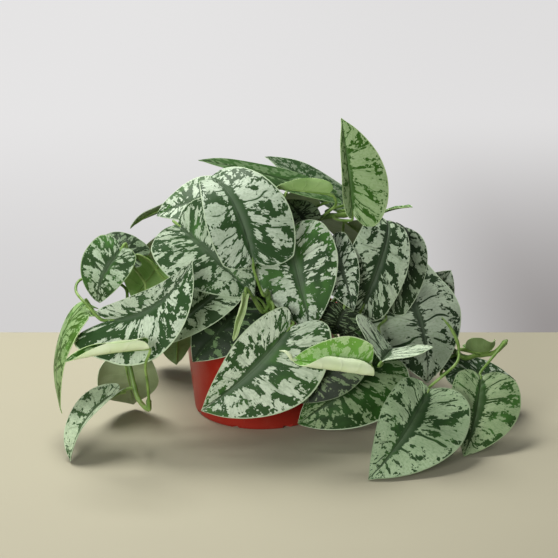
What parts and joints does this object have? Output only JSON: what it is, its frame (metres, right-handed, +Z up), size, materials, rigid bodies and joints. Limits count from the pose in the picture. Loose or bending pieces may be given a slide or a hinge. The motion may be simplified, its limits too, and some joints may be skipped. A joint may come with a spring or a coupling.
{
  "type": "potted silver splash pothos",
  "caption": "Trailing foliage plant with heart-shaped silver-patched leaves on arching stems, rooted in soil in a tapered round plastic nursery pot.",
  "frame": {"origin": "centre of the flat underside of the pot's floor, on the surface that the pot stands on", "axes": "+Z up along the pot's axis, -Y towards the side shown in the picture, +X to that side's right"},
  "size_m": [0.4388, 0.3549, 0.289],
  "materials": {
    "pot_plastic": "semi-gloss moulded plastic, orange-red",
    "soil": "crumbly dark potting soil",
    "stem": "smooth waxy green stem",
    "leaf": "satin green leaf with silver patches",
    "young_leaf": "satin lime-green young leaf"
  },
  "bodies": {
    "root": {"leaf_back_floor": "leaf", "leaf_back_high": "leaf", "leaf_back_left": "leaf", "leaf_back_low_left": "leaf", "leaf_back_low_right": "leaf", "leaf_back_mid": "leaf", "leaf_back_right": "leaf", "leaf_back_top": "leaf", "leaf_behind_low": "leaf", "leaf_behind_mid": "leaf", "leaf_centre_boat": "leaf", "leaf_centre_rolled": "young_leaf", "leaf_crown_front": "leaf", "leaf_far_left": "young_leaf", "leaf_floor_far_right": "leaf", "leaf_floor_right": "leaf", "leaf_front_low": "leaf", "leaf_front_mid": "leaf", "leaf_inner": "leaf", "leaf_left_back_top": "leaf", "leaf_left_floor": "leaf", "leaf_left_foot": "leaf", "leaf_left_hang": "leaf", "leaf_left_high_back": "leaf", "leaf_left_low": "leaf", "leaf_left_mid": "leaf", "leaf_left_reach": "leaf", "leaf_left_rolled": "young_leaf", "leaf_left_roof": "leaf", "leaf_left_under": "leaf", "leaf_low_right": "leaf", "leaf_low_shadow": "leaf", "leaf_pale_sheath": "young_leaf", "leaf_pot_left": "leaf", "leaf_pot_side": "leaf", "leaf_right_behind": "leaf", "leaf_right_big": "leaf", "leaf_right_big_back": "leaf", "leaf_right_narrow": "leaf", "leaf_right_rolled": "young_leaf", "leaf_right_spike": "young_leaf", "leaf_right_wide": "leaf", "leaf_roof_back": "leaf", "leaf_roof_long": "leaf", "leaf_roof_rolled": "young_leaf", "leaf_shadow_right": "leaf", "leaf_top_behind": "leaf", "leaf_upright": "young_leaf", "pot": "pot_plastic", "soil": "soil", "vine_back": "stem", "vine_back_left": "stem", "vine_back_right": "stem", "vine_crown": "stem", "vine_front": "stem", "vine_left_top": "stem", "vine_left_trail": "stem", "vine_right_front": "stem", "vine_right_trail": "stem"}
  },
  "joints": []
}
